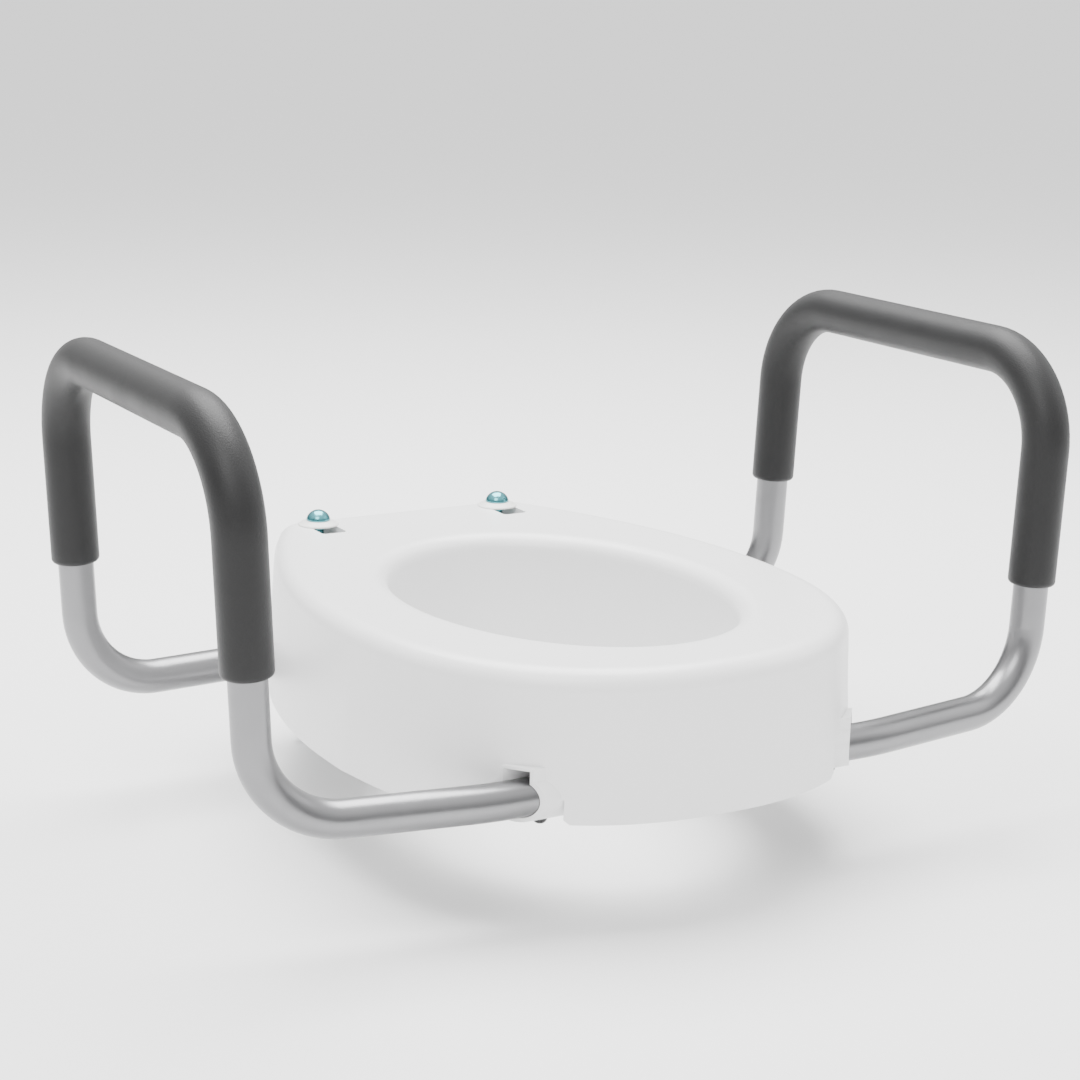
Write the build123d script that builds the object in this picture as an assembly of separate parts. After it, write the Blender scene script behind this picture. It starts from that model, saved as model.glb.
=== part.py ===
from build123d import *
import os
from math import cos, pi, radians, sin, tan

# ---------------------------------------------------------------------------
# Raised toilet seat with removable armrests.  Millimetres.
# The origin lies midway between the two seat bolts, on the plane of the bowl
# rim.  -Y points to the nose of the seat and +Z is up.  Left and right are as
# seen from in front of the nose, so left is -X and right is +X.
# ---------------------------------------------------------------------------

# Riser moulding: outside shape
pad_stand_off = 2.5          # the rubber pads hold the skirt this far off the rim
riser_height = 88.9
skirt_z = pad_stand_off
deck_z = skirt_z + riser_height
side_half_width = 165.5      # at the widest place, on the skirt
widest_y = -218.0
nose_length = 190.0          # from the widest place to the nose
nose_power = 2.3             # roundness of the nose, 2 is an ellipse
back_taper = 59.5            # narrowing of each side between widest_y and the bolts
back_y = 21.0
back_corner_r = 22.0
side_draft = 6.2             # the deck is narrower than the skirt by this at each side
end_draft = 0.8
outer_lip_r = 12.0
wall = 2.6
deck_wall = 3.0

# Central opening, a funnel
opening_y = -213.6
opening_top = (100.6, 138.2)  # half width, half length at the deck
opening_foot = (92.6, 129.7)  # the same at the skirt
inner_lip_r = 11.0

# Ribs and pad bosses under the deck
rib_thickness = 2.2
rib_foot_z = 48.0
pad_places = {"front_left": (-98.0, -322.0), "front_right": (98.0, -322.0),
              "rear_left": (-106.0, -112.0), "rear_right": (106.0, -112.0)}
pad_r = 11.0
pad_seat_depth = 4.0
pad_stem_r = 4.0
pad_stem_length = 12.0
pad_boss_r = 13.6
pad_boss_height = 22.0

# Seat bolts and their slots
bolt_spacing = 139.7
slot_width = 18.0
slot_front_y = -28.0
slot_back_y = 14.0
slot_wall_depth = 14.0
head_r = 8.2
head_height = 7.2
neck_side = 8.0
shank_r = 3.95
thread_r = 3.75
thread_top_z = -22.0
bolt_tip_z = -62.0
top_washer_r = 14.0
top_washer_crown_r = 9.2
top_washer_rim = 1.2
top_washer_height = 3.2
bowl_ledge_z = -36.0         # underside of the bowl ledge that the bolts pass through
cone_top_r = 8.0
cone_foot_r = 14.0
cone_height = 9.0
steel_washer_r = 12.0
steel_washer_thickness = 1.6
nut_hub_r = 8.0
nut_height = 9.0
nut_wing_span = 38.0
nut_wing_thickness = 3.0

# Armrest tube
tube_r = 11.1
tube_wall = 1.4
leg_z = 17.0
socket_y = {"front": -369.0, "rear": -51.0}
post_y = {"front": -347.5, "rear": -61.5}
post_x = {"front": 268.5, "rear": 264.7}     # at post_reference_z
post_reference_z = 100.0
post_lean = 2.8              # degrees outward
bar_z = 236.0
toe_x = {"front": 132.0, "rear": 140.0}      # where a leg turns from its socket towards its post
toe_bend_r = 150.0
lower_bend_r = 52.0
upper_bend_r = 57.0
tube_end_x = 54.0

# Foam grips: outside radius and the height of each lower end
grip_r = 15.0
grip_end_z = {("left", "front"): 102.9, ("left", "rear"): 100.2,
              ("right", "front"): 93.8, ("right", "rear"): 105.7}

# Sockets for the legs
socket_clearance = 0.35
socket_wall = 2.4
neck_half_width = 8.0
neck_wall = 1.6
neck_height = 18.6           # above the tube's axis
socket_end_x = 48.0
socket_stop = 2.5
mouth_x = {"front": 115.6, "rear": 132.2}    # on the tube's axis
mouth_turn = {"front": -38.5, "rear": 23.0}  # degrees, so that a mouth follows the skirt
notch_side_gap = 1.0
notch_corner_r = 3.0

# Snap buttons and their leaf springs
button_x = {"front": 100.0, "rear": 114.0}
button_r = 4.2
button_hole_r = 4.5
button_stand_out = 3.0
button_dome_r = 3.2
leaf_thickness = 0.6
leaf_width = 8.0
leaf_drop = 8.4              # from the tube's axis to the outside of the lower arm
leaf_reach = 32.0
leaf_tail = 6.0
leaf_bend_r = 2.5
plug_depth = 9.0
plug_flange = 1.5

side_sign = {"left": -1, "right": 1}
leg_names = ["front", "rear"]


def half_width(y, inset_side, inset_nose, inset_back=0.0):
    """Half width of the riser's outline at y, drawn in by the insets."""
    a = side_half_width - inset_side
    if y >= widest_y:
        share = (y - widest_y) / (0 - widest_y)
        return a - back_taper * share ** 2
    share = min((widest_y - y) / (nose_length - inset_nose), 1.0)
    return a * (1 - share ** nose_power) ** (1 / nose_power)


def outline(inset_side, inset_nose, inset_back):
    """Flat face of the riser's plan shape, drawn in by the insets; its back corners are sharp."""
    a = side_half_width - inset_side
    b = nose_length - inset_nose
    nose = []
    steps = 24
    for i in range(steps + 1):
        t = pi * i / steps
        x = a * abs(cos(t)) ** (2 / nose_power)
        x = x if cos(t) > 0 else -x
        nose.append((x, widest_y - b * sin(t) ** (2 / nose_power)))
    end_y = back_y - inset_back
    side = []
    for i in range(6):
        y = widest_y + (end_y - widest_y) * i / 5
        side.append((half_width(y, inset_side, inset_nose), y))
    end_slope = -2 * back_taper * (end_y - widest_y) / widest_y ** 2
    nose_curve = Spline(*nose, tangents=[(0, -1), (0, 1)])
    right = Spline(*side, tangents=[(0, 1), (end_slope, 1)])
    left = Spline(*[(-x, y) for x, y in side], tangents=[(0, 1), (-end_slope, 1)])
    back = Line(right @ 1, left @ 1)
    return make_face(Wire([nose_curve, left, back, right]))


def oval(semi_axes, grow=0.0):
    """Flat face of the central opening, grown by the given amount."""
    return Pos(0, opening_y) * Ellipse(semi_axes[0] + grow, semi_axes[1] + grow)


def oval_at(z, grow=0.0):
    """The funnel's section at height z."""
    share = (z - skirt_z) / (deck_z - skirt_z)
    axes = [foot + (top - foot) * share for foot, top in zip(opening_foot, opening_top)]
    return Pos(0, 0, z) * oval(axes, grow)


def edges_at(solid, z, tolerance=0.05):
    """Edges of a solid that lie wholly at height z."""
    found = []
    for edge in solid.edges():
        box = edge.bounding_box()
        if abs(box.min.Z - z) < tolerance and abs(box.max.Z - z) < tolerance:
            found.append(edge)
    return ShapeList(found)


def lip_edges(solid, z):
    """Edges round the central opening at height z."""
    reach = opening_top[0] + 10
    return ShapeList([edge for edge in edges_at(solid, z)
                      if max(abs(edge.bounding_box().min.X), edge.bounding_box().max.X) < reach
                      and edge.center().Y < -150])


def upright_edges(solid, y, tolerance=1.0):
    """Edges at the back corners, which run from the skirt to the deck."""
    found = []
    for edge in solid.edges():
        box = edge.bounding_box()
        if box.max.Z - box.min.Z > 20 and abs(edge.center().Y - y) < tolerance:
            found.append(edge)
    return ShapeList(found)


def outer_block():
    """The riser's outside as a solid block."""
    foot = Pos(0, 0, skirt_z) * outline(0, 0, 0)
    top = Pos(0, 0, deck_z) * outline(side_draft, end_draft, end_draft)
    block = loft([foot, top], ruled=True)
    block = fillet(upright_edges(block, back_y - end_draft / 2), back_corner_r)
    return fillet(edges_at(block, deck_z), outer_lip_r)


def opening_block(grow=0.0):
    """The space inside the funnel, grown outward by a wall thickness where one is asked for."""
    return loft([oval_at(skirt_z - 1, grow), oval_at(deck_z + 1, grow)], ruled=True)


def cavity_block():
    """The hollow under the deck, between the skirt and the funnel, before anything stands in it."""
    roof_z = deck_z - deck_wall
    foot = Pos(0, 0, skirt_z - 1) * outline(wall, wall, wall)
    roof = Pos(0, 0, roof_z) * outline(side_draft + wall, end_draft + wall, end_draft + wall)
    hollow = loft([foot, roof], ruled=True)
    hollow = fillet(upright_edges(hollow, back_y - wall - end_draft / 2), back_corner_r - wall)
    hollow = chamfer(edges_at(hollow, roof_z), outer_lip_r - wall - 1)
    hollow = hollow - opening_block(wall)
    return chamfer(lip_edges(hollow, roof_z), inner_lip_r - wall - 1)


def rib_blocks():
    """Radial stiffening ribs under the deck, as plates that cross the whole hollow."""
    plates = []
    rib_reach = 260
    for angle in (20, 75, 105, 160, 198, 245, 295, 342):
        plate = Box(rib_reach, rib_thickness, deck_z - rib_foot_z, align=(Align.MIN, Align.CENTER, Align.MIN))
        plates.append(Pos(0, opening_y, rib_foot_z) * Rot(0, 0, angle) * plate)
    return plates


def slot_block(grow, depth):
    """A fore-and-aft bolt slot with rounded corners, measured down from the deck."""
    width = slot_width + 2 * grow
    length = slot_back_y - slot_front_y + 2 * grow
    sketch = RectangleRounded(width, length, 3.0 + grow)
    middle_y = (slot_back_y + slot_front_y) / 2
    blocks = []
    for sign in (-1, 1):
        place = Pos(sign * bolt_spacing / 2, middle_y, deck_z + 1 - depth)
        blocks.append(extrude(place * sketch, depth))
    return blocks


def pad_bosses():
    """Round bosses for the rubber pads, each carried from the deck by a cross of plates."""
    upright = (Align.CENTER, Align.CENTER, Align.MIN)
    pieces = []
    for x, y in pad_places.values():
        pieces.append(Pos(x, y, skirt_z - 2) * Cylinder(pad_boss_r, pad_boss_height + 2, align=upright))
        pieces.append(Pos(x, y, skirt_z) * Box(2 * pad_boss_r, rib_thickness, riser_height - 1, align=upright))
        pieces.append(Pos(x, y, skirt_z) * Box(rib_thickness, 2 * pad_boss_r, riser_height - 1, align=upright))
    return pieces


def pad_bores():
    """The seats and stem holes for the rubber pads."""
    upright = (Align.CENTER, Align.CENTER, Align.MIN)
    cuts = []
    for x, y in pad_places.values():
        cuts.append(Pos(x, y, skirt_z - 1) * Cylinder(pad_r + 0.15, pad_seat_depth + 1, align=upright))
        cuts.append(Pos(x, y, skirt_z) * Cylinder(pad_stem_r + 0.05, pad_boss_height - 2, align=upright))
    return cuts


def keyhole(radius, neck_half, neck_top):
    """Socket section on the YZ plane about the tube's axis: a round with a neck above it."""
    neck = Pos(0, neck_top / 2) * Rectangle(2 * neck_half, neck_top)
    return Plane.YZ * (Circle(radius) + neck)


def socket_place(side, leg, x):
    """Point on a leg's axis inside its socket."""
    return Pos(side_sign[side] * x, socket_y[leg], leg_z)


def mouth_cutter(side, leg):
    """Everything outside a socket's slanted mouth."""
    sign = side_sign[side]
    block = Box(80, 160, 120, align=(Align.MIN, Align.CENTER, Align.CENTER))
    turned = Rot(0, 0, mouth_turn[leg]) * block
    if sign < 0:
        turned = mirror(turned, about=Plane.YZ)
    return socket_place(side, leg, mouth_x[leg]) * turned


def socket_sleeve(side, leg):
    """Outside of a socket, trimmed at its mouth."""
    outer_r = tube_r + socket_clearance + socket_wall
    section = keyhole(outer_r, neck_half_width, neck_height)
    length = mouth_x[leg] + 30 - socket_end_x
    sleeve = extrude(section, side_sign[side] * length)
    return socket_place(side, leg, socket_end_x) * sleeve - mouth_cutter(side, leg)


def socket_bore(side, leg):
    """Inside of a socket, open through the skirt."""
    inner_r = tube_r + socket_clearance
    section = keyhole(inner_r, neck_half_width - neck_wall, neck_height - neck_wall)
    start = socket_end_x + socket_stop
    bore = extrude(section, side_sign[side] * (180 - start))
    hole = Cylinder(button_hole_r + 0.2, 30, align=(Align.CENTER, Align.CENTER, Align.MAX))
    hole_place = Pos(side_sign[side] * button_x[leg], socket_y[leg], leg_z)
    return socket_place(side, leg, start) * bore + hole_place * hole


def skirt_notch(side, leg):
    """The opening in the skirt beside the lower half of a socket, flared at its foot."""
    outer_r = tube_r + socket_clearance + socket_wall
    half = outer_r + notch_side_gap
    past_skirt = 0.15
    height = leg_z - skirt_z + past_skirt
    upper = Pos(0, -height / 2) * Rectangle(2 * half, height)
    flare = Rectangle(2 * (half + notch_corner_r), 2 * notch_corner_r)
    rounds = [Pos(place * (half + notch_corner_r), -height + notch_corner_r) * Circle(notch_corner_r)
              for place in (-1, 1)]
    section = upper + Pos(0, -height) * flare - rounds
    depth = 70
    start = mouth_x[leg] - 35
    return socket_place(side, leg, start) * extrude(Plane.YZ * section, side_sign[side] * depth)


def riser_body():
    """The whole moulding: skirt, deck, funnel, ribs, pad bosses, bolt slots and four sockets."""
    shell = outer_block() - opening_block()
    shell = fillet(lip_edges(shell, deck_z), inner_lip_r)
    sockets = [(side, leg) for side in side_sign for leg in leg_names]
    for side, leg in sockets:
        shell = shell - skirt_notch(side, leg)
    hollow = cavity_block() - rib_blocks() - pad_bosses() - slot_block(wall, slot_wall_depth)
    body = shell - hollow
    body = body - slot_block(0, riser_height)
    body = body - pad_bores()
    for side, leg in sockets:
        body = body + socket_sleeve(side, leg)
        body = body - socket_bore(side, leg)
    return body


def rubber_pad(x, y):
    """Grey rubber bumper with a stem that presses into its boss."""
    foot_height = skirt_z + pad_seat_depth - 0.1
    foot = Cylinder(pad_r, foot_height, align=(Align.CENTER, Align.CENTER, Align.MIN))
    foot = chamfer(foot.edges().group_by(Axis.Z)[0], 0.8)
    stem = Cylinder(pad_stem_r, pad_stem_length, align=(Align.CENTER, Align.CENTER, Align.MIN))
    return Pos(x, y, 0) * (foot + Pos(0, 0, foot_height) * stem)


def post_point(side, leg, z):
    """Point on the axis of an upright post at height z."""
    x = post_x[leg] + tan(radians(post_lean)) * (z - post_reference_z)
    return (side_sign[side] * x, post_y[leg], z)


def armrest_route(side):
    """Corner points of the armrest tube, from the front leg's end round to the rear leg's end."""
    sign = side_sign[side]
    front = [(sign * tube_end_x, socket_y["front"], leg_z), (sign * toe_x["front"], socket_y["front"], leg_z),
             post_point(side, "front", leg_z), post_point(side, "front", bar_z)]
    rear = [(sign * tube_end_x, socket_y["rear"], leg_z), (sign * toe_x["rear"], socket_y["rear"], leg_z),
            post_point(side, "rear", leg_z), post_point(side, "rear", bar_z)]
    return front + rear[::-1]


def sweep_round(path, radius):
    """Round bar along a path."""
    section = Plane(origin=path @ 0, z_dir=path % 0) * Circle(radius)
    return sweep(section, path=path)


def handle_tube(side):
    """Bent aluminium tube with a button hole near each leg's end."""
    corners = armrest_route(side)
    radii = [toe_bend_r, lower_bend_r, upper_bend_r, upper_bend_r, lower_bend_r, toe_bend_r]
    path = FilletPolyline(*corners, radius=radii)
    tube = sweep_round(path, tube_r) - sweep_round(path, tube_r - tube_wall)
    for leg in leg_names:
        hole = Cylinder(button_hole_r, tube_r + 2, align=(Align.CENTER, Align.CENTER, Align.MAX))
        tube = tube - socket_place(side, leg, button_x[leg]) * hole
    return tube


def foam_grip(side):
    """Foam sleeve over the bar and down both posts."""
    corners = [post_point(side, "front", grip_end_z[side, "front"]), post_point(side, "front", bar_z),
               post_point(side, "rear", bar_z), post_point(side, "rear", grip_end_z[side, "rear"])]
    path = FilletPolyline(*corners, radius=[upper_bend_r, upper_bend_r])
    return sweep_round(path, grip_r) - sweep_round(path, tube_r)


def tube_end_plug(side, leg):
    """Plastic plug that closes the inner end of a leg."""
    flange = Cylinder(tube_r, plug_flange, align=(Align.CENTER, Align.CENTER, Align.MAX))
    flange = chamfer(flange.edges().group_by(Axis.Z)[0], 0.5)
    body = Cylinder(tube_r - tube_wall - 0.02, plug_depth, align=(Align.CENTER, Align.CENTER, Align.MIN))
    body = chamfer(body.edges().group_by(Axis.Z)[-1], 0.6)
    hollow = Cylinder(tube_r - tube_wall - 2.0, plug_depth, align=(Align.CENTER, Align.CENTER, Align.MIN))
    plug = flange + body - Pos(0, 0, 1) * hollow
    return socket_place(side, leg, tube_end_x) * Rot(0, side_sign[side] * 90, 0) * plug


def snap_button(side, leg):
    """Round spring button that stands out under the socket."""
    tip = tube_r + socket_clearance + socket_wall + button_stand_out
    root = leaf_drop + 0.05
    pin = Cylinder(button_r, tip - root, align=(Align.CENTER, Align.CENTER, Align.MAX))
    pin = fillet(pin.edges().group_by(Axis.Z)[0], button_dome_r)
    rivet = Cylinder(1.5, 1.6, align=(Align.CENTER, Align.CENTER, Align.MIN))
    button = pin + rivet
    return socket_place(side, leg, button_x[leg]) * Pos(0, 0, -root) * button


def spring_leaf(side, leg):
    """V-shaped leaf spring inside the tube; its lower arm carries the button."""
    low = leaf_drop - leaf_thickness / 2
    route = FilletPolyline((leaf_tail, -low), (-leaf_reach, -low), (leaf_tail - 2, low), radius=leaf_bend_r)
    strip = extrude(Plane.XZ * trace(route, leaf_thickness), leaf_width / 2, both=True)
    strip = strip - Pos(0, 0, -low) * Cylinder(1.6, 4)
    if side_sign[side] < 0:
        strip = mirror(strip, about=Plane.YZ)
    return socket_place(side, leg, button_x[leg]) * strip


def bolt_place(side, z):
    """Point on a seat bolt's axis."""
    return Pos(side_sign[side] * bolt_spacing / 2, 0, z)


def seat_bolt(side):
    """Carriage bolt: domed head, square neck, plain shank and threaded end."""
    head_rim = 1.2
    tip_chamfer = 1.0
    head_z = deck_z + top_washer_height
    cap_height = head_height - head_rim
    cap_r = (head_r ** 2 + cap_height ** 2) / (2 * cap_height)
    cap_z = head_z + head_height - cap_r
    half_way = (cap_r * sin(radians(30)), cap_z + cap_r * cos(radians(30)))
    dome = ThreePointArc((head_r, head_z + head_rim), half_way, (0, head_z + head_height))
    profile = Polyline((0, head_z + head_height), (0, bolt_tip_z), (thread_r - tip_chamfer, bolt_tip_z),
                       (thread_r, bolt_tip_z + tip_chamfer), (thread_r, thread_top_z), (shank_r, thread_top_z),
                       (shank_r, head_z), (head_r, head_z), (head_r, head_z + head_rim))
    bar = revolve(Plane.XZ * make_face(Wire(profile.edges() + dome.edges())), Axis.Z)
    neck_length = 6.5
    neck = Box(neck_side, neck_side, neck_length, align=(Align.CENTER, Align.CENTER, Align.MAX))
    return bolt_place(side, 0) * (bar + Pos(0, 0, head_z) * neck)


def top_washer(side):
    """White plastic flange washer under the bolt's head, with a square hole."""
    rim = Cylinder(top_washer_r, top_washer_rim, align=(Align.CENTER, Align.CENTER, Align.MIN))
    rim = chamfer(rim.edges().group_by(Axis.Z)[-1], 0.5)
    crown_height = top_washer_height - top_washer_rim
    crown = Cone(top_washer_r - 1.5, top_washer_crown_r, crown_height, align=(Align.CENTER, Align.CENTER, Align.MIN))
    hole = Box(neck_side + 0.3, neck_side + 0.3, 3 * top_washer_height)
    washer = rim + Pos(0, 0, top_washer_rim) * crown - hole
    return bolt_place(side, deck_z) * washer


def round_down(radius, length):
    """Round plate or bar that hangs down from its own origin."""
    return Cylinder(radius, length, align=(Align.CENTER, Align.CENTER, Align.MAX))


def rubber_cone_washer(side):
    """Rubber washer whose cone centres the bolt in the ledge's hole."""
    rim_height = 2.5
    rim = round_down(cone_foot_r, rim_height)
    rim = chamfer(rim.edges().group_by(Axis.Z)[0], 0.6)
    cone = Cone(cone_foot_r - 2, cone_top_r, cone_height - rim_height, align=(Align.CENTER, Align.CENTER, Align.MIN))
    washer = rim + cone - Cylinder(shank_r + 0.35, 4 * cone_height)
    return bolt_place(side, bowl_ledge_z - cone_height + rim_height) * washer


def steel_washer(side):
    """Flat zinc-plated washer under the rubber one."""
    washer = round_down(steel_washer_r, steel_washer_thickness)
    washer = chamfer(washer.edges().group_by(Axis.Z)[0], 0.3)
    hole = Cylinder(shank_r + 0.35, 4 * steel_washer_thickness)
    return bolt_place(side, bowl_ledge_z - cone_height) * (washer - hole)


def wing_nut(side):
    """Moulded wing nut: a tapered hub with two rounded wings."""
    hub = Cone(nut_hub_r - 1.2, nut_hub_r, nut_height, align=(Align.CENTER, Align.CENTER, Align.MAX))
    wing = RectangleRounded(nut_wing_span, nut_height - 1.5, 3.2)
    wings = extrude(Plane.XZ * wing, nut_wing_thickness / 2, both=True)
    wings = Pos(0, 0, -nut_height / 2 - 0.75) * wings
    nut = hub + wings - Cylinder(thread_r + 0.08, 4 * nut_height)
    gap = 0.1
    return bolt_place(side, bowl_ledge_z - cone_height - steel_washer_thickness - gap) * nut


parts = {"riser_body": riser_body()}
for place, (x, y) in pad_places.items():
    parts["rubber_pad_" + place] = rubber_pad(x, y)
for side in side_sign:
    parts["handle_tube_" + side] = handle_tube(side)
    parts["foam_grip_" + side] = foam_grip(side)
    parts["seat_bolt_" + side] = seat_bolt(side)
    parts["top_washer_" + side] = top_washer(side)
    parts["rubber_cone_washer_" + side] = rubber_cone_washer(side)
    parts["steel_washer_" + side] = steel_washer(side)
    parts["wing_nut_" + side] = wing_nut(side)
    for leg in leg_names:
        parts["tube_end_plug_" + leg + "_" + side] = tube_end_plug(side, leg)
        parts["snap_button_" + leg + "_" + side] = snap_button(side, leg)
        parts["spring_leaf_" + leg + "_" + side] = spring_leaf(side, leg)

os.makedirs("parts", exist_ok=True)
for name, shape in parts.items():
    export_step(shape, "parts/" + name + ".step")
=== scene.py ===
from math import cos, pi, radians, sin, tan

import bmesh
import bpy
from bpy.props import FloatProperty, FloatVectorProperty, IntProperty, PointerProperty
from bpy.types import Operator, Panel, PropertyGroup
from mathutils import Euler, Matrix, Vector


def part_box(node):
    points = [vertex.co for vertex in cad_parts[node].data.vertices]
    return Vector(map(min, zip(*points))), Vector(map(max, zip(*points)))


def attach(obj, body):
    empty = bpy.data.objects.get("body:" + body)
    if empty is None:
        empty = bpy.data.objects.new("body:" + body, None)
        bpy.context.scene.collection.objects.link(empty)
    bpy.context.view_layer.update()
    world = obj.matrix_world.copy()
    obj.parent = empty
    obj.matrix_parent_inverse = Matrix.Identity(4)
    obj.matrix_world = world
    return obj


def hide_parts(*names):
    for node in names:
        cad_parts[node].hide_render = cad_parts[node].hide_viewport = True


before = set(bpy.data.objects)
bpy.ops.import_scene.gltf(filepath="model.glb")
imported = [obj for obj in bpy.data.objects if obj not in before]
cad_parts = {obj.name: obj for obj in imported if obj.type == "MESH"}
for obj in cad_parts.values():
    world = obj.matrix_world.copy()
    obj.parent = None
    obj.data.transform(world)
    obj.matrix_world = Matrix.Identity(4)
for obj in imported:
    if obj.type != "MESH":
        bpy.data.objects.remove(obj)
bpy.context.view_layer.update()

bl_info = {
    "name": "Raised Seat With Armrests",
    "version": (1, 0, 0),
    "blender": (4, 5, 0),
    "location": "View3D > Sidebar > Raised Seat",
    "description": "Finishes a raised toilet seat with padded armrests and sets its studio",
    "category": "Object",
}

SIDES = {"left": -1.0, "right": 1.0}
LEGS = ("front", "rear")
PAD_PLACES = ("front_left", "front_right", "rear_left", "rear_right")
MM = 0.001

MERGE_DISTANCE = 0.001 * MM
GRAIN_DEPTH = 0.1 * MM
FOAM_DEPTH = 0.25 * MM
RUBBER_DEPTH = 0.2 * MM

END_STEPS = 6
DOME_STEPS = 10
ROUND_STEPS = 48
BEND_STEPS_LEAST = 8

HEAD_EDGE = 0.3 * MM
NECK_EDGE = 0.5 * MM
TIP_CHAMFER_WIDTH = 0.9 * MM
TIP_CHAMFER_HEIGHT = 1.2 * MM
THREAD_RUN_OUT = 0.6 * MM
THREAD_END_GAP = 0.8 * MM
THREAD_TIP_GAP = 1.4 * MM
THREAD_SINK = 0.05 * MM
CREST_HALF_WIDTH = 0.08 * MM
FLANK_SHARE_OF_PITCH = 0.46

FLOOR_SIZE = 40.0
SURROUND_TOP = 0.7
LIGHT_TARGET = (0.0, -0.2, 0.1)
SENSOR_WIDTH = 36.0
CAMERA_REACH = 100.0

GRIP_LOW, GRIP_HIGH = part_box("foam_grip_left")
BOLT_LOW, BOLT_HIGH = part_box("seat_bolt_right")
CAD_LOW = min(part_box(name)[0].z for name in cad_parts)


def length_prop(name, description, default):
    """A size in metres."""
    return FloatProperty(name=name, description=description, default=default, min=0.0,
                         unit="LENGTH", precision=5)


def place_prop(name, description, default):
    """A coordinate in metres, which may be negative."""
    return FloatProperty(name=name, description=description, default=default,
                         unit="LENGTH", precision=5)


def colour_prop(name, description, default):
    """A linear colour."""
    return FloatVectorProperty(name=name, description=description, default=default,
                               min=0.0, max=1.0, size=3, subtype="COLOR")


def angle_prop(name, description, default):
    """An angle, given in degrees."""
    return FloatProperty(name=name, description=description, default=radians(default),
                         subtype="ANGLE")


def power_prop(name, description, default):
    """The power of a light in watts."""
    return FloatProperty(name=name, description=description, default=default, min=0.0,
                         unit="POWER")


def strength_prop(name, description, default):
    """A brightness of the surround."""
    return FloatProperty(name=name, description=description, default=default, min=0.0)


class GripSizes(PropertyGroup):
    """Sizes of the foam sleeves on the armrests"""

    radius: length_prop("Radius", "Outside radius of the sleeve", 15.0 * MM)
    bore: length_prop("Bore", "Radius of the hole that the tube fills", 11.2 * MM)
    end_round: length_prop("End rounding", "Rounding of the sleeve's cut ends", 3.2 * MM)
    bend_radius: length_prop("Bend radius", "Centreline radius of the two upper bends",
                             57.0 * MM)
    post_lean: angle_prop("Post lean", "How far each post leans outward", 2.8)
    front_post_x: length_prop("Front post", "From the middle to the front post, at the bar",
                              275.15 * MM)
    rear_post_x: length_prop("Rear post", "From the middle to the rear post, at the bar",
                             271.35 * MM)
    left_front_end: place_prop("Left front end", "Height of the left sleeve's front end",
                               102.9 * MM)
    left_rear_end: place_prop("Left rear end", "Height of the left sleeve's rear end",
                              100.2 * MM)
    right_front_end: place_prop("Right front end", "Height of the right sleeve's front end",
                                93.8 * MM)
    right_rear_end: place_prop("Right rear end", "Height of the right sleeve's rear end",
                               105.7 * MM)
    segments: IntProperty(name="Segments", description="Faces round the sleeve",
                          default=56, min=12, max=128)
    ring_gap: length_prop("Ring gap", "Distance between rings on the straight runs", 5.0 * MM)


class BoltSizes(PropertyGroup):
    """Sizes of the two seat bolts"""

    head_radius: length_prop("Head radius", "Radius of the domed head", 8.2 * MM)
    head_height: length_prop("Head height", "Height of the domed head", 7.2 * MM)
    head_rim: length_prop("Head rim", "Upright rim under the dome", 1.2 * MM)
    neck_side: length_prop("Neck side", "Side of the square neck", 8.0 * MM)
    neck_length: length_prop("Neck length", "Length of the square neck", 6.5 * MM)
    shank_radius: length_prop("Shank radius", "Radius of the plain shank", 3.95 * MM)
    root_radius: length_prop("Root radius", "Radius at the root of the thread", 3.42 * MM)
    pitch: length_prop("Pitch", "Pitch of the thread", 1.25 * MM)
    thread_top: place_prop("Thread top", "Height where the thread starts", -22.0 * MM)
    steps: IntProperty(name="Steps", description="Steps in one turn of the thread",
                       default=24, min=8, max=64)


class FinishColours(PropertyGroup):
    """Colours of the finishes"""

    riser: colour_prop("Riser", "Moulded white plastic of the riser", (0.83, 0.83, 0.83))
    foam: colour_prop("Foam", "Closed-cell foam of the grips", (0.0125, 0.0125, 0.0128))
    aluminium: colour_prop("Aluminium", "Anodised aluminium of the armrest tubes",
                           (0.23, 0.23, 0.235))
    zinc: colour_prop("Zinc", "Blue-passivated zinc plating", (0.10, 0.33, 0.37))
    nylon: colour_prop("Nylon", "White nylon of the flange washers and wing nuts",
                       (0.78, 0.78, 0.76))
    button: colour_prop("Button", "Blackened snap buttons and end plugs", (0.012, 0.012, 0.013))
    rubber: colour_prop("Rubber", "Grey rubber bumpers", (0.17, 0.17, 0.17))
    washer_rubber: colour_prop("Washer rubber", "Black rubber of the cone washers",
                               (0.02, 0.02, 0.02))
    spring: colour_prop("Spring steel", "Tempered steel of the leaf springs",
                        (0.42, 0.40, 0.37))


class StudioSettings(PropertyGroup):
    """Camera, floor and lights"""

    camera_place: FloatVectorProperty(name="Camera place", description="Where the camera stands",
                                      default=(-0.7672, -1.5406, 0.4938), size=3,
                                      subtype="TRANSLATION")
    camera_yaw: angle_prop("Camera yaw", "Turn of the view from +Y towards +X", 29.537)
    camera_pitch: angle_prop("Camera pitch", "How far the camera looks down", 13.698)
    camera_roll: angle_prop("Camera roll", "Roll of the camera about its own view", 1.102)
    lens: FloatProperty(name="Lens", description="Focal length in millimetres on a 36 mm sensor",
                        default=83.85, min=10.0)
    floor: colour_prop("Floor", "Colour of the studio floor", (0.86, 0.86, 0.86))
    sky_high: strength_prop("Surround overhead", "Brightness of the surround overhead", 1.9)
    sky_low: strength_prop("Surround at the horizon", "Brightness at the horizon", 0.18)
    key_power: power_prop("Key power", "Power of the key light", 26.0)
    fill_power: power_prop("Fill power", "Power of the fill light", 8.0)
    top_power: power_prop("Top power", "Power of the overhead light", 135.0)


# ---------------------------------------------------------------------------
# Shared effects for the materials
# ---------------------------------------------------------------------------


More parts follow.
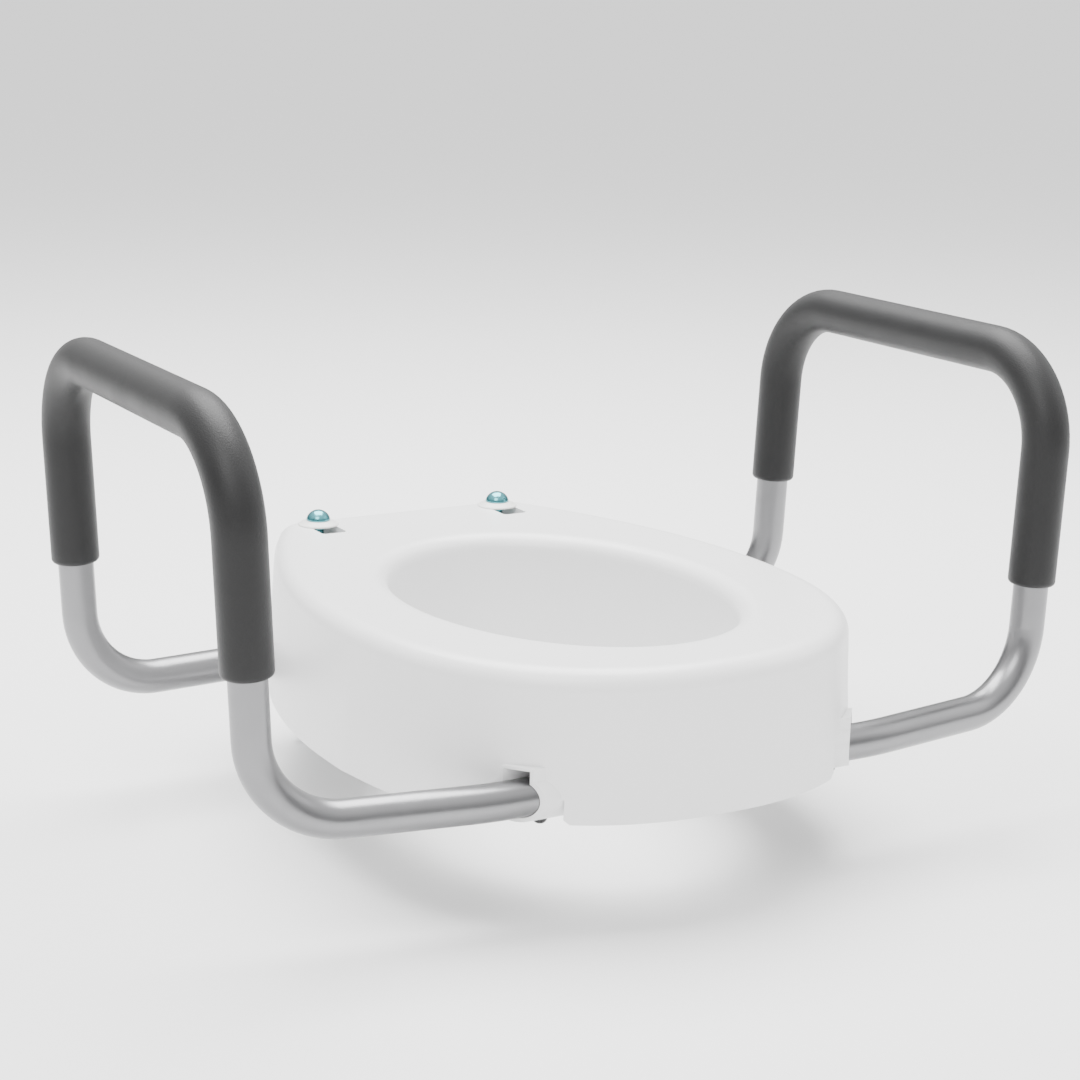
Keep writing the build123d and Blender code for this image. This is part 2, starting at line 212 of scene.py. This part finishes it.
def new_group(name, inputs, outputs):
    """An empty node group with float or colour sockets, and its two end nodes."""
    group = bpy.data.node_groups.new(name, "ShaderNodeTree")
    for label, kind, value in inputs:
        socket = group.interface.new_socket(label, in_out="INPUT", socket_type=kind)
        if value is not None:
            socket.default_value = value
    for label, kind in outputs:
        group.interface.new_socket(label, in_out="OUTPUT", socket_type=kind)
    start = group.nodes.new("NodeGroupInput")
    end = group.nodes.new("NodeGroupOutput")
    return group, start, end


def feed(tree, socket, value):
    """Sets a socket from another socket or from a plain number."""
    if isinstance(value, (int, float)):
        socket.default_value = value
    else:
        tree.links.new(value, socket)


def math_node(tree, kind, first, second):
    """A Math node fed by sockets or plain numbers."""
    node = tree.nodes.new("ShaderNodeMath")
    node.operation = kind
    feed(tree, node.inputs[0], first)
    feed(tree, node.inputs[1], second)
    return node.outputs[0]


def noise_node(tree, vector, scale, detail=3.0, rough=0.5):
    """A noise pattern read at the vector."""
    node = tree.nodes.new("ShaderNodeTexNoise")
    node.inputs["Detail"].default_value = detail
    node.inputs["Roughness"].default_value = rough
    feed(tree, node.inputs["Scale"], scale)
    tree.links.new(vector, node.inputs["Vector"])
    return node.outputs["Fac"]


def blend_colours(tree, factor, first, second):
    """A colour Mix node; each colour is a socket or a plain colour."""
    node = tree.nodes.new("ShaderNodeMix")
    node.data_type = "RGBA"
    tree.links.new(factor, node.inputs["Factor"])
    for label, value in (("A", first), ("B", second)):
        socket = next(item for item in node.inputs if item.name == label and item.type == "RGBA")
        if isinstance(value, bpy.types.NodeSocket):
            tree.links.new(value, socket)
        else:
            socket.default_value = (*value, 1.0)
    return next(item for item in node.outputs if item.type == "RGBA")


def moulded_skin():
    """Fine spark-eroded texture of a moulded surface: a height and a slow variation mask."""
    group, start, end = new_group(
        "moulded_skin",
        [("Vector", "NodeSocketVector", None), ("Grain Scale", "NodeSocketFloat", 900.0),
         ("Flow Scale", "NodeSocketFloat", 9.0)],
        [("Height", "NodeSocketFloat"), ("Flow", "NodeSocketFloat")])
    grain = noise_node(group, start.outputs["Vector"], start.outputs["Grain Scale"], 2.0, 0.6)
    flow = noise_node(group, start.outputs["Vector"], start.outputs["Flow Scale"], 4.0, 0.55)
    group.links.new(grain, end.inputs["Height"])
    group.links.new(flow, end.inputs["Flow"])
    return group


def handling_marks():
    """Thin rub marks and smudges from handling, as one mask."""
    group, start, end = new_group(
        "handling_marks",
        [("Vector", "NodeSocketVector", None), ("Scale", "NodeSocketFloat", 60.0)],
        [("Mask", "NodeSocketFloat")])
    smudge = noise_node(group, start.outputs["Vector"], start.outputs["Scale"], 5.0, 0.65)
    ramp = group.nodes.new("ShaderNodeValToRGB")
    ramp.color_ramp.elements[0].position = 0.52
    ramp.color_ramp.elements[1].position = 0.78
    group.links.new(smudge, ramp.inputs["Fac"])
    scratch = group.nodes.new("ShaderNodeTexWave")
    scratch.wave_type = "BANDS"
    scratch.inputs["Scale"].default_value = 55.0
    scratch.inputs["Distortion"].default_value = 14.0
    scratch.inputs["Detail"].default_value = 3.0
    group.links.new(start.outputs["Vector"], scratch.inputs["Vector"])
    fine = math_node(group, "GREATER_THAN", scratch.outputs["Fac"], 0.985)
    faint = math_node(group, "MULTIPLY", fine, 0.5)
    both = math_node(group, "MAXIMUM", ramp.outputs["Color"], faint)
    group.links.new(both, end.inputs["Mask"])
    return group


def foam_cells():
    """The skin of closed-cell foam: tiny cells and a few larger dimples."""
    group, start, end = new_group(
        "foam_cells",
        [("Vector", "NodeSocketVector", None), ("Cell Scale", "NodeSocketFloat", 1100.0)],
        [("Height", "NodeSocketFloat"), ("Shade", "NodeSocketFloat")])
    cells = group.nodes.new("ShaderNodeTexVoronoi")
    cells.feature = "F1"
    group.links.new(start.outputs["Vector"], cells.inputs["Vector"])
    group.links.new(start.outputs["Cell Scale"], cells.inputs["Scale"])
    slow = noise_node(group, start.outputs["Vector"], 45.0, 4.0, 0.6)
    height = math_node(group, "MULTIPLY", cells.outputs["Distance"], 0.8)
    height = math_node(group, "ADD", height, slow)
    group.links.new(height, end.inputs["Height"])
    group.links.new(slow, end.inputs["Shade"])
    return group


EFFECTS = {"moulded_skin": moulded_skin, "handling_marks": handling_marks,
           "foam_cells": foam_cells}


# ---------------------------------------------------------------------------
# Materials
# ---------------------------------------------------------------------------


def new_material(name, metallic, roughness):
    """A material with its shader, its tree and the object's coordinates."""
    material = bpy.data.materials.new(name)
    material.use_nodes = True
    tree = material.node_tree
    shader = tree.nodes["Principled BSDF"]
    shader.inputs["Metallic"].default_value = metallic
    shader.inputs["Roughness"].default_value = roughness
    place = tree.nodes.new("ShaderNodeTexCoord").outputs["Object"]
    return material, tree, shader, place


def add_effect(tree, effect, vector, **values):
    """One shared effect placed in a material; its group is built at the first use."""
    node = tree.nodes.new("ShaderNodeGroup")
    node.node_tree = bpy.data.node_groups.get(effect) or EFFECTS[effect]()
    tree.links.new(vector, node.inputs["Vector"])
    for label, value in values.items():
        node.inputs[label.replace("_", " ")].default_value = value
    return node


def add_bump(tree, shader, height, strength, distance):
    """Feeds a height to the shader's normal."""
    bump = tree.nodes.new("ShaderNodeBump")
    bump.inputs["Strength"].default_value = strength
    bump.inputs["Distance"].default_value = distance
    tree.links.new(height, bump.inputs["Height"])
    tree.links.new(bump.outputs["Normal"], shader.inputs["Normal"])


def vary_roughness(tree, shader, mask, low, high):
    """Roughness that runs from low to high with the mask."""
    span = tree.nodes.new("ShaderNodeMapRange")
    span.inputs["To Min"].default_value = low
    span.inputs["To Max"].default_value = high
    tree.links.new(mask, span.inputs["Value"])
    tree.links.new(span.outputs["Result"], shader.inputs["Roughness"])


def shade(colour, by):
    """The colour made lighter or darker."""
    return tuple(min(1.0, channel * by) for channel in colour)


def plastic_material(name, colour, roughness, grain_scale, bump, coat=0.0):
    """Moulded plastic with a fine skin, slow flow marks and faint handling marks."""
    material, tree, shader, place = new_material(name, 0.0, roughness[0])
    skin = add_effect(tree, "moulded_skin", place, Grain_Scale=grain_scale)
    marks = add_effect(tree, "handling_marks", place)
    flow = skin.outputs["Flow"]
    base = blend_colours(tree, flow, shade(colour, 0.975), shade(colour, 1.02))
    worn = math_node(tree, "MULTIPLY", marks.outputs["Mask"], 0.10)
    base = blend_colours(tree, worn, base, shade(colour, 0.90))
    tree.links.new(base, shader.inputs["Base Color"])
    vary_roughness(tree, shader, marks.outputs["Mask"], *roughness)
    shader.inputs["IOR"].default_value = 1.5
    shader.inputs["Coat Weight"].default_value = coat
    shader.inputs["Coat Roughness"].default_value = 0.22
    add_bump(tree, shader, skin.outputs["Height"], bump, GRAIN_DEPTH)
    return material


def metal_material(name, colour, roughness, grain_scale, bump):
    """Plated or anodised metal with a fine grain and slow tone changes."""
    material, tree, shader, place = new_material(name, 1.0, roughness[0])
    skin = add_effect(tree, "moulded_skin", place, Grain_Scale=grain_scale, Flow_Scale=22.0)
    marks = add_effect(tree, "handling_marks", place, Scale=90.0)
    flow = skin.outputs["Flow"]
    base = blend_colours(tree, flow, shade(colour, 0.93), shade(colour, 1.06))
    tree.links.new(base, shader.inputs["Base Color"])
    vary_roughness(tree, shader, marks.outputs["Mask"], *roughness)
    add_bump(tree, shader, skin.outputs["Height"], bump, GRAIN_DEPTH)
    return material


def foam_material(name, colour):
    """Closed-cell foam with a soft sheen."""
    material, tree, shader, place = new_material(name, 0.0, 0.5)
    foam = add_effect(tree, "foam_cells", place)
    tone = foam.outputs["Shade"]
    base = blend_colours(tree, tone, shade(colour, 0.86), shade(colour, 1.14))
    tree.links.new(base, shader.inputs["Base Color"])
    vary_roughness(tree, shader, tone, 0.40, 0.56)
    shader.inputs["Specular IOR Level"].default_value = 0.28
    shader.inputs["Sheen Weight"].default_value = 0.06
    shader.inputs["Sheen Roughness"].default_value = 0.45
    add_bump(tree, shader, foam.outputs["Height"], 0.35, FOAM_DEPTH)
    return material


def rubber_material(name, colour):
    """Matt moulded rubber with a light bloom."""
    material, tree, shader, place = new_material(name, 0.0, 0.75)
    skin = add_effect(tree, "moulded_skin", place, Grain_Scale=1400.0, Flow_Scale=70.0)
    base = blend_colours(tree, skin.outputs["Flow"], shade(colour, 0.8), shade(colour, 1.3))
    tree.links.new(base, shader.inputs["Base Color"])
    vary_roughness(tree, shader, skin.outputs["Flow"], 0.62, 0.85)
    add_bump(tree, shader, skin.outputs["Height"], 0.5, RUBBER_DEPTH)
    return material


def finish_nodes(names, material):
    """Gives CAD nodes one material."""
    for name in names:
        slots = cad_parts[name].data.materials
        slots.clear()
        slots.append(material)


# ---------------------------------------------------------------------------
# Shapes
# ---------------------------------------------------------------------------


def finished_piece(name, bm, material, body):
    """Turns a bmesh into a smooth piece that rides on a body."""
    bmesh.ops.remove_doubles(bm, verts=bm.verts, dist=MERGE_DISTANCE)
    bmesh.ops.recalc_face_normals(bm, faces=bm.faces)
    mesh = bpy.data.meshes.new(name)
    bm.to_mesh(mesh)
    bm.free()
    mesh.shade_smooth()
    mesh.materials.append(material)
    piece = bpy.data.objects.new(name, mesh)
    bpy.context.collection.objects.link(piece)
    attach(piece, body)
    return piece


def edges_at(verts):
    """The edges at some vertices, each once and always in the same order."""
    return list(dict.fromkeys(edge for vert in verts for edge in vert.link_edges))


def new_ring(bm, centre, direction, radius, segments):
    """A ring of edges square to the direction."""
    turn = direction.to_track_quat("Z", "Y").to_matrix().to_4x4()
    made = bmesh.ops.create_circle(bm, cap_ends=False, radius=radius, segments=segments,
                                   matrix=Matrix.Translation(centre) @ turn)
    return edges_at(made["verts"])


def push_ring(bm, ring, step, widen=0.0):
    """Extrudes a ring by a step and widens it by so much about its own centre."""
    made = bmesh.ops.extrude_edge_only(bm, edges=ring)["geom"]
    verts = [item for item in made if isinstance(item, bmesh.types.BMVert)]
    edges = [item for item in made if isinstance(item, bmesh.types.BMEdge)]
    bmesh.ops.translate(bm, verts=verts, vec=step)
    if widen:
        centre = sum((vert.co for vert in verts), Vector()) / len(verts)
        size = (verts[0].co - centre).length
        bmesh.ops.scale(bm, verts=verts, vec=Vector((1, 1, 1)) * (1 + widen / size),
                        space=Matrix.Translation(-centre))
    return edges


def sweep_corners(bm, ring, corners, bend_radius, ring_gap):
    """Carries a ring along straight runs joined by round bends."""
    place = Vector(corners[0])
    for index in range(1, len(corners)):
        ahead = (corners[index] - corners[index - 1]).normalized()
        stop = corners[index]
        if index < len(corners) - 1:
            onward = (corners[index + 1] - corners[index]).normalized()
            turn = ahead.angle(onward)
            stop = corners[index] - ahead * bend_radius * tan(turn / 2)
        run = stop - place
        count = max(1, round(run.length / ring_gap))
        for _ in range(count):
            ring = push_ring(bm, ring, run / count)
        place = stop
        if index < len(corners) - 1:
            inward = (onward - ahead * onward.dot(ahead)).normalized()
            centre = place + inward * bend_radius
            axis = ahead.cross(onward).normalized()
            steps = max(BEND_STEPS_LEAST, round(bend_radius * turn / ring_gap))
            made = bmesh.ops.spin(bm, geom=ring, cent=centre, axis=axis, angle=turn,
                                  steps=steps)
            ring = [item for item in made["geom_last"] if isinstance(item, bmesh.types.BMEdge)]
            place = centre + Matrix.Rotation(turn, 3, axis) @ (place - centre)
    return ring


def grip_corners(sizes, side):
    """Corner points of a sleeve's centreline, from its front end to its rear end."""
    sign = SIDES[side]
    front_y = GRIP_LOW.y + sizes.radius
    rear_y = GRIP_HIGH.y - sizes.radius
    bar_z = GRIP_HIGH.z - sizes.radius
    ends = {leg: getattr(sizes, side + "_" + leg + "_end") for leg in LEGS}
    posts = {"front": (sizes.front_post_x, front_y), "rear": (sizes.rear_post_x, rear_y)}
    points = {}
    for leg, (x, y) in posts.items():
        lower_x = x - tan(sizes.post_lean) * (bar_z - ends[leg])
        points[leg] = [Vector((sign * lower_x, y, ends[leg])), Vector((sign * x, y, bar_z))]
    return points["front"] + points["rear"][::-1]


def quarter_turn(steps):
    """The angles at the start and at the end of each step of a quarter turn."""
    return [(pi / 2 * i / steps, pi / 2 * (i + 1) / steps) for i in range(steps)]


class SEAT_OT_grips(Operator):
    """Makes the two foam sleeves on the armrests"""

    bl_idname = "seat.grips"
    bl_label = "Foam grips"

    def execute(self, context):
        sizes = context.scene.seat_grips
        colours = context.scene.seat_colours
        material = foam_material("grip_foam", colours.foam)
        for side in SIDES:
            corners = grip_corners(sizes, side)
            start = (corners[1] - corners[0]).normalized()
            finish = (corners[-1] - corners[-2]).normalized()
            bm = bmesh.new()
            inner = new_ring(bm, corners[0], start, sizes.bore, sizes.segments)
            sweep_corners(bm, inner, corners, sizes.bend_radius, sizes.ring_gap)
            ring = new_ring(bm, corners[0], start, sizes.bore, sizes.segments)
            flat = sizes.radius - sizes.bore - sizes.end_round
            ring = push_ring(bm, ring, Vector(), flat)
            for near, far in quarter_turn(END_STEPS):
                rise = sizes.end_round * (cos(near) - cos(far))
                widen = sizes.end_round * (sin(far) - sin(near))
                ring = push_ring(bm, ring, start * rise, widen)
            trimmed = [corners[0] + start * sizes.end_round, corners[1], corners[2],
                       corners[3] - finish * sizes.end_round]
            ring = sweep_corners(bm, ring, trimmed, sizes.bend_radius, sizes.ring_gap)
            for near, far in quarter_turn(END_STEPS):
                rise = sizes.end_round * (sin(far) - sin(near))
                widen = sizes.end_round * (cos(far) - cos(near))
                ring = push_ring(bm, ring, finish * rise, widen)
            push_ring(bm, ring, Vector(), -flat)
            grip = finished_piece("grip_" + side, bm, material, "handle_" + side)
            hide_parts("foam_grip_" + side)
        return {"FINISHED"}


class SEAT_OT_riser(Operator):
    """Finishes the moulded riser"""

    bl_idname = "seat.riser"
    bl_label = "Riser"

    def execute(self, context):
        colours = context.scene.seat_colours
        material = plastic_material("riser_plastic", colours.riser, roughness=(0.33, 0.42),
                                    grain_scale=700.0, bump=0.12, coat=0.15)
        finish_nodes(["riser_body"], material)
        return {"FINISHED"}


class SEAT_OT_tubes(Operator):
    """Finishes the bent aluminium tubes"""

    bl_idname = "seat.tubes"
    bl_label = "Armrest tubes"

    def execute(self, context):
        colours = context.scene.seat_colours
        material = metal_material("anodised_aluminium", colours.aluminium,
                                  roughness=(0.30, 0.40), grain_scale=1600.0, bump=0.35)
        finish_nodes(["handle_tube_" + side for side in SIDES], material)
        return {"FINISHED"}


def zinc_plate(colours):
    """The zinc plating that the bolts and the flat washers share."""
    return bpy.data.materials.get("zinc_plate") or metal_material(
        "zinc_plate", colours.zinc, roughness=(0.16, 0.34), grain_scale=900.0, bump=0.15)


class SEAT_OT_bolts(Operator):
    """Makes the seat bolts with their domed heads, square necks and cut threads"""

    bl_idname = "seat.bolts"
    bl_label = "Seat bolts"

    def execute(self, context):
        sizes = context.scene.seat_bolts
        material = zinc_plate(context.scene.seat_colours)
        head_z = BOLT_HIGH.z - sizes.head_height
        spacing = (BOLT_LOW.x + BOLT_HIGH.x) / 2
        axis_y = (BOLT_LOW.y + BOLT_HIGH.y) / 2
        for side, sign in SIDES.items():
            bm = bmesh.new()
            self.add_shank_and_head(bm, sizes, head_z)
            self.add_neck(bm, sizes, head_z)
            self.add_thread(bm, sizes, BOLT_LOW.z + THREAD_TIP_GAP)
            bmesh.ops.translate(bm, verts=bm.verts, vec=(sign * spacing, axis_y, 0))
            bolt = finished_piece("bolt_" + side, bm, material, "bolt_" + side)
            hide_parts("seat_bolt_" + side)
        return {"FINISHED"}

    def add_shank_and_head(self, bm, sizes, head_z):
        """The turned part: a chamfered tip, the thread's root, the shank and the domed head."""
        tip_z = BOLT_LOW.z
        shank_z = sizes.thread_top + THREAD_RUN_OUT
        outline = [(0.0, tip_z), (sizes.root_radius - TIP_CHAMFER_WIDTH, tip_z),
                   (sizes.root_radius, tip_z + TIP_CHAMFER_HEIGHT),
                   (sizes.root_radius, sizes.thread_top),
                   (sizes.shank_radius, shank_z), (sizes.shank_radius, head_z),
                   (sizes.head_radius - HEAD_EDGE, head_z),
                   (sizes.head_radius, head_z + HEAD_EDGE),
                   (sizes.head_radius, head_z + sizes.head_rim)]
        rise = sizes.head_height - sizes.head_rim
        cap = (sizes.head_radius ** 2 + rise ** 2) / (2 * rise)
        for i in range(1, DOME_STEPS + 1):
            x = sizes.head_radius * (1 - i / DOME_STEPS)
            outline.append((x, BOLT_HIGH.z - cap + (cap ** 2 - x ** 2) ** 0.5))
        verts = [bm.verts.new((x, 0.0, z)) for x, z in outline]
        edges = [bm.edges.new(pair) for pair in zip(verts, verts[1:])]
        bmesh.ops.spin(bm, geom=verts + edges, cent=(0, 0, 0), axis=(0, 0, 1), angle=2 * pi,
                       steps=ROUND_STEPS, use_merge=True)
        bmesh.ops.remove_doubles(bm, verts=bm.verts, dist=MERGE_DISTANCE)

    def add_neck(self, bm, sizes, head_z):
        """The bevelled square neck under the head."""
        place = Matrix.Translation((0, 0, head_z - sizes.neck_length / 2))
        size = Matrix.Diagonal((sizes.neck_side, sizes.neck_side, sizes.neck_length, 1))
        neck = bmesh.ops.create_cube(bm, size=1.0, matrix=place @ size)
        bmesh.ops.bevel(bm, geom=edges_at(neck["verts"]), offset=NECK_EDGE,
                        offset_type="OFFSET", segments=2, profile=0.5, affect="EDGES",
                        material=-1)

    def add_thread(self, bm, sizes, start_z):
        """The raised helix of the thread."""
        foot = sizes.root_radius - THREAD_SINK
        crest = foot + sizes.shank_radius - sizes.root_radius
        reach = sizes.pitch * FLANK_SHARE_OF_PITCH
        profile = [(foot, start_z - reach), (crest, start_z - CREST_HALF_WIDTH),
                   (crest, start_z + CREST_HALF_WIDTH), (foot, start_z + reach)]
        verts = [bm.verts.new((x, 0.0, z)) for x, z in profile]
        edges = [bm.edges.new(pair) for pair in zip(verts, verts[1:] + verts[:1])]
        face = bm.faces.new(verts)
        turns = (sizes.thread_top - THREAD_END_GAP - start_z) / sizes.pitch
        steps = round(turns * sizes.steps)
        bmesh.ops.spin(bm, geom=[face, *edges, *verts], cent=(0, 0, 0), axis=(0, 0, 1),
                       dvec=(0, 0, sizes.pitch / sizes.steps),
                       angle=2 * pi * steps / sizes.steps, steps=steps)


class SEAT_OT_bolt_hardware(Operator):
    """Finishes the washers and wing nuts"""

    bl_idname = "seat.bolt_hardware"
    bl_label = "Washers and nuts"

    def execute(self, context):
        colours = context.scene.seat_colours
        nylon = plastic_material("nylon", colours.nylon, roughness=(0.30, 0.42),
                                 grain_scale=900.0, bump=0.10)
        zinc = zinc_plate(colours)
        rubber = rubber_material("washer_rubber", colours.washer_rubber)
        for side in SIDES:
            finish_nodes(["top_washer_" + side, "wing_nut_" + side], nylon)
            finish_nodes(["steel_washer_" + side], zinc)
            finish_nodes(["rubber_cone_washer_" + side], rubber)
        return {"FINISHED"}


class SEAT_OT_pads(Operator):
    """Finishes the rubber bumpers under the riser"""

    bl_idname = "seat.pads"
    bl_label = "Rubber bumpers"

    def execute(self, context):
        material = rubber_material("bumper_rubber", context.scene.seat_colours.rubber)
        finish_nodes(["rubber_pad_" + place for place in PAD_PLACES], material)
        return {"FINISHED"}


class SEAT_OT_latches(Operator):
    """Finishes the snap buttons, leaf springs and end plugs"""

    bl_idname = "seat.latches"
    bl_label = "Snap buttons"

    def execute(self, context):
        colours = context.scene.seat_colours
        black = plastic_material("button_black", colours.button, roughness=(0.25, 0.40),
                                 grain_scale=1200.0, bump=0.10)
        steel = metal_material("spring_steel", colours.spring, roughness=(0.25, 0.45),
                               grain_scale=1500.0, bump=0.2)
        for side in SIDES:
            for leg in LEGS:
                place = leg + "_" + side
                finish_nodes(["snap_button_" + place, "tube_end_plug_" + place], black)
                finish_nodes(["spring_leaf_" + place], steel)
        return {"FINISHED"}


def area_light(name, place, size, power):
    """A soft square light aimed at the seat."""
    data = bpy.data.lights.new(name, "AREA")
    data.shape = "SQUARE"
    data.size = size
    data.energy = power
    light = bpy.data.objects.new(name, data)
    light.location = place
    aim = Vector(LIGHT_TARGET) - Vector(place)
    light.rotation_euler = aim.to_track_quat("-Z", "Y").to_euler()
    bpy.context.collection.objects.link(light)


class SEAT_OT_stage(Operator):
    """Sets the floor, the lights and the camera"""

    bl_idname = "seat.stage"
    bl_label = "Studio"

    def execute(self, context):
        studio = context.scene.seat_studio
        self.lay_floor(context, studio)
        self.light_surround(context, studio)
        area_light("key", (-1.1, -1.3, 1.7), 1.2, studio.key_power)
        area_light("fill", (1.8, -0.9, 0.9), 1.4, studio.fill_power)
        area_light("top", (0.2, 0.4, 2.0), 1.8, studio.top_power)
        self.set_camera(context, studio)
        return {"FINISHED"}

    def lay_floor(self, context, studio):
        """A plain floor level with the bolts' ends."""
        bm = bmesh.new()
        bmesh.ops.create_grid(bm, x_segments=1, y_segments=1, size=FLOOR_SIZE)
        mesh = bpy.data.meshes.new("floor")
        bm.to_mesh(mesh)
        bm.free()
        floor = bpy.data.objects.new("floor", mesh)
        floor.location.z = CAD_LOW
        material, _, shader, _ = new_material("floor_paper", 0.0, 0.9)
        shader.inputs["Base Color"].default_value = (*studio.floor, 1.0)
        mesh.materials.append(material)
        context.collection.objects.link(floor)

    def light_surround(self, context, studio):
        """A white surround that grows brighter from the horizon upward."""
        world = bpy.data.worlds.new("surround")
        world.use_nodes = True
        tree = world.node_tree
        background = tree.nodes["Background"]
        background.inputs["Color"].default_value = (1.0, 1.0, 1.0, 1.0)
        split = tree.nodes.new("ShaderNodeSeparateXYZ")
        coordinates = tree.nodes.new("ShaderNodeTexCoord")
        tree.links.new(coordinates.outputs["Generated"], split.inputs["Vector"])
        span = tree.nodes.new("ShaderNodeMapRange")
        span.inputs["From Max"].default_value = SURROUND_TOP
        span.inputs["To Min"].default_value = studio.sky_low
        span.inputs["To Max"].default_value = studio.sky_high
        tree.links.new(split.outputs["Z"], span.inputs["Value"])
        tree.links.new(span.outputs["Result"], background.inputs["Strength"])
        context.scene.world = world

    def set_camera(self, context, studio):
        """The camera that the scene is seen through."""
        data = bpy.data.cameras.new("camera")
        data.sensor_width = SENSOR_WIDTH
        data.lens = studio.lens
        data.clip_end = CAMERA_REACH
        camera = bpy.data.objects.new("camera", data)
        aim = Euler((pi / 2 - studio.camera_pitch, 0.0, -studio.camera_yaw), "XYZ").to_matrix()
        roll = Matrix.Rotation(studio.camera_roll, 3, "Z")
        camera.matrix_world = Matrix.Translation(studio.camera_place) @ (aim @ roll).to_4x4()
        context.collection.objects.link(camera)
        context.scene.camera = camera


class SEAT_PT_panel(Panel):
    """Lists the seat's pieces in the sidebar"""

    bl_idname = "SEAT_PT_panel"
    bl_label = "Raised Seat"
    bl_space_type = "VIEW_3D"
    bl_region_type = "UI"
    bl_category = "Raised Seat"

    def draw(self, context):
        for operator in OPERATORS:
            self.layout.operator(operator.bl_idname)
        for group in GROUPS:
            box = self.layout.box()
            box.label(text=group.__doc__)
            for name in group.__annotations__:
                box.prop(getattr(context.scene, GROUPS[group]), name)


GROUPS = {GripSizes: "seat_grips", BoltSizes: "seat_bolts", FinishColours: "seat_colours",
          StudioSettings: "seat_studio"}
OPERATORS = (SEAT_OT_riser, SEAT_OT_tubes, SEAT_OT_grips, SEAT_OT_bolts, SEAT_OT_bolt_hardware,
             SEAT_OT_pads, SEAT_OT_latches, SEAT_OT_stage)


def register():
    for group, name in GROUPS.items():
        bpy.utils.register_class(group)
        setattr(bpy.types.Scene, name, PointerProperty(type=group))
    for item in (*OPERATORS, SEAT_PT_panel):
        bpy.utils.register_class(item)


def unregister():
    for item in (SEAT_PT_panel, *reversed(OPERATORS)):
        bpy.utils.unregister_class(item)
    for group, name in reversed(list(GROUPS.items())):
        delattr(bpy.types.Scene, name)
        bpy.utils.unregister_class(group)


def main():
    """Registers the add-on, builds every piece and sets the studio."""
    register()
    bpy.ops.seat.riser()
    bpy.ops.seat.tubes()
    bpy.ops.seat.grips()
    bpy.ops.seat.bolts()
    bpy.ops.seat.bolt_hardware()
    bpy.ops.seat.pads()
    bpy.ops.seat.latches()
    bpy.ops.seat.stage()


if __name__ == "__main__":
    main()
